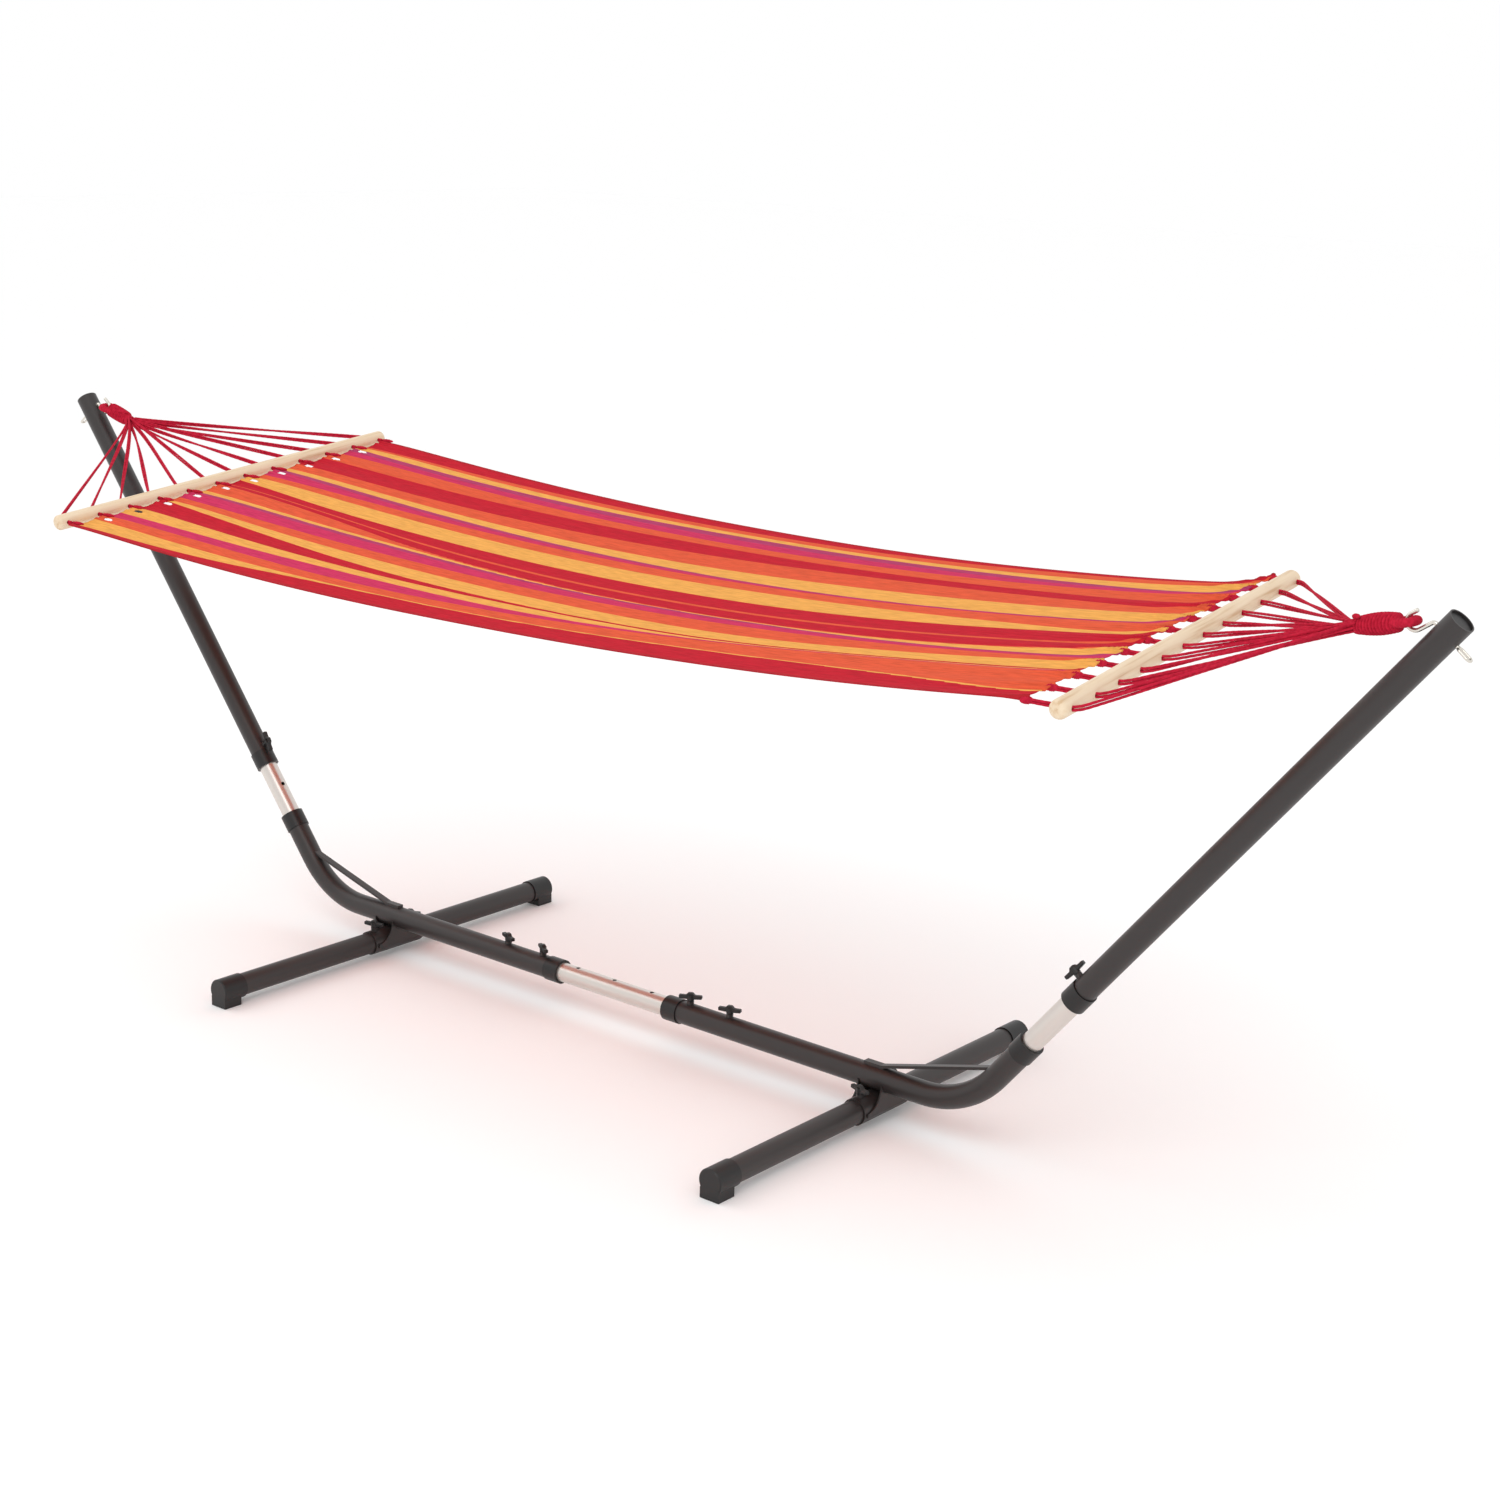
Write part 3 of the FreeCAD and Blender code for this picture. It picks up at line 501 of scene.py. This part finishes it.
pitch = HOLES[1] - HOLES[0]
phase = (from_middle - HOLES[0]) / pitch
beside = (phase - np.round(phase)) * pitch      # distance from the nearest cord
waves = np.cos(2 * np.pi * beside / pitch)
notched = NOTCH * np.exp(-(beside / NOTCH_WIDE) ** 2) - LEFT_OUT
gather = beside * np.exp(-(beside / GATHER_WIDE) ** 2)
folds = np.cos(2 * np.pi * beside / FOLD_PITCH) * np.exp(-(beside / FOLD_WIDE) ** 2)
from_hem = np.minimum(across - near_hem, far_hem - across)
hem = np.clip(1 - from_hem / HEM, 0, 1)
cloth_points = sheet + np.stack(np.broadcast_arrays(
    notched * closeness(to_left, EDGE_REACH["left"])
    + SCALLOP * waves * closeness(to_right, EDGE_REACH["right"]),
    -gather * at_ends(GATHER),
    -4 * CLOTH_SAG * share * (1 - share) - DIP * closeness(to_left, DIP_REACH)
    + folds * at_ends(FOLDS) + waves * at_ends(WAVES) + HEM_RAISED * np.sqrt(hem)), -1)
grid = np.arange(ROWS * COLUMNS).reshape(ROWS, COLUMNS)
quads = np.stack([grid[:-1, :-1], grid[1:, :-1], grid[1:, 1:], grid[:-1, 1:]], -1)
slit = ((to_left - SLIT_BACK) / SLIT_LONG) ** 2 + ((beside - SLIT_ASIDE) / SLIT_WIDE) ** 2 < 1
quads = quads[(~slit | (from_hem < 2 * HEM))[:-1, :-1]]     # a slit doesn't cut the hem
mesh = bpy.data.meshes.new("striped_cloth")
mesh.from_pydata(cloth_points.reshape(-1, 3).tolist(), [], quads.tolist())
mesh.shade_smooth()
stripe = mesh.attributes.new("stripe", "FLOAT", "POINT")
stripe.data.foreach_set("value", stripe_place(share, pattern_across).astype(np.float32).ravel())

weave, tree, shader = new_finish("striped_cotton", YELLOW, roughness=0.9, shine=0.1)
place = tree.nodes.new("ShaderNodeAttribute")
place.attribute_name = "stripe"
stops = []
for number, (colour, _, lines) in enumerate(STRIPES):
    stops += [(number / len(STRIPES), colour)]
    stops += [((number + part) / len(STRIPES), line_colour) for part, line_colour in lines]
colours = ramp(tree, place.outputs["Fac"], stops, "CONSTANT")
threads = ramp(tree, grain(tree, scale=90, detail=4.0, length=(2.9, 0.25, 1.0)),
               [(0.3, display(214, 214, 214)), (0.62, display(255, 255, 255))])
mixed = tree.nodes.new("ShaderNodeMix")
mixed.data_type = "RGBA"
mixed.blend_type = "MULTIPLY"
mixed.inputs["Factor"].default_value = 0.8
tree.links.new(colours, mixed.inputs["A"])
tree.links.new(threads, mixed.inputs["B"])
tree.links.new(mixed.outputs["Result"], shader.inputs["Base Color"])
emboss(tree, shader, grain(tree, scale=420, length=(1.6, 0.6, 1.0)), depth=0.0003)
mesh.materials.append(weave)
cloth = bpy.data.objects.new("striped_cloth", mesh)
bpy.context.scene.collection.objects.link(cloth)
thicken = cloth.modifiers.new("thickness", "SOLIDIFY")
thicken.thickness = CLOTH_THICKNESS
thicken.offset = 0.0
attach(cloth, "hammock")
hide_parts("cloth")

# Knots: each cord is tied off round the gathered hem, in a few tight turns. A knot is placed inwards
# from the cord's end, aside and up from the cord, and its axis slants aside and slopes down.
KNOT = {
    "left": {"inwards": 0.007, "aside": 0.009, "up": -0.002, "slant": 0.5, "half_length": 0.0165,
             "radius": 0.0046},
    "right": {"inwards": -0.004, "aside": 0.0, "up": 0.0, "slant": 0.0, "half_length": 0.0120,
              "radius": 0.0068}}
SLOPE = 0.1
for side, sign in SIDES.items():
    knot, shells = KNOT[side], []
    for hole in HOLES:
        from_bar = BAR_RADIUS + cloth_gap(side, hole) + knot["inwards"]
        middle, beyond = at_bar(side, [
            (-sign * (from_bar + step), hole + knot["aside"] + knot["slant"] * step,
             knot["up"] - SLOPE * step) for step in (0, 0.01)])
        shells.append(lump(middle, unit(beyond - middle), knot["half_length"], knot["radius"], wraps=5))
    new_piece(f"{side}_cloth_knots", shells, cotton, "hammock")


# ---- Floor, light and camera ---------------------------------------------------------------------
# A plain white floor just under the pads, a bright even surround and two large soft lamps. The camera
# stands in front on the right and looks a little down.
WHITE = (1.0, 1.0, 1.0, 1.0)
FLOOR_HALF, FLOOR_HEIGHT = 30.0, -0.0006
floor_mesh = bpy.data.meshes.new("floor")
floor_mesh.from_pydata([(x * FLOOR_HALF, y * FLOOR_HALF, FLOOR_HEIGHT)
                        for x, y in ((-1, -1), (1, -1), (1, 1), (-1, 1))], [], [(0, 1, 2, 3)])
floor_mesh.materials.append(new_finish("pale_floor", WHITE, roughness=0.9)[0])
floor = bpy.data.objects.new("floor", floor_mesh)
bpy.context.scene.collection.objects.link(floor)

world = bpy.data.worlds.new("studio")
world.use_nodes = True
world.node_tree.nodes["Background"].inputs["Color"].default_value = WHITE
world.node_tree.nodes["Background"].inputs["Strength"].default_value = 1.0
bpy.context.scene.world = world


def add_lamp(name, place, aim, size, power):
    """A square soft lamp at a place, turned to its aim."""
    light = bpy.data.lights.new(name, "AREA")
    light.size = size
    light.energy = power
    lamp = bpy.data.objects.new(name, light)
    bpy.context.scene.collection.objects.link(lamp)
    lamp.location = place
    lamp.rotation_mode = "QUATERNION"
    lamp.rotation_quaternion = (Vector(aim) - Vector(place)).to_track_quat("-Z", "Y")


add_lamp("key_light", place=(2.4, -3.6, 4.6), aim=(0.2, 0.0, 0.6), size=3.0, power=60)
add_lamp("fill_light", place=(-3.4, -1.2, 3.6), aim=(0.0, 0.0, 0.6), size=3.0, power=25)

AZIMUTH, ELEVATION, ROLL = math.radians(39.23), math.radians(15.22), math.radians(1.583)
DISTANCE, AIM = 4.5027, Vector((0.33458, 0.0, 0.63137))
towards = Vector((math.sin(AZIMUTH) * math.cos(ELEVATION), -math.cos(AZIMUTH) * math.cos(ELEVATION),
                  math.sin(ELEVATION)))
right = (-towards).cross(Vector((0, 0, 1))).normalized()
up = right.cross(-towards)
tilted_right = right * math.cos(ROLL) + up * math.sin(ROLL)
tilted_up = up * math.cos(ROLL) - right * math.sin(ROLL)
camera_data = bpy.data.cameras.new("camera")
camera_data.lens = 58.22
camera_data.sensor_width = 36.0
camera_data.shift_x = -0.0006
camera_data.shift_y = 0.0034
camera_data.clip_end = 100.0
camera = bpy.data.objects.new("camera", camera_data)
bpy.context.scene.collection.objects.link(camera)
camera.matrix_world = Matrix.LocRotScale(
    AIM + towards * DISTANCE, Matrix((tilted_right, tilted_up, towards)).transposed(), None)
bpy.context.scene.camera = camera
bpy.context.scene.view_settings.view_transform = "Standard"
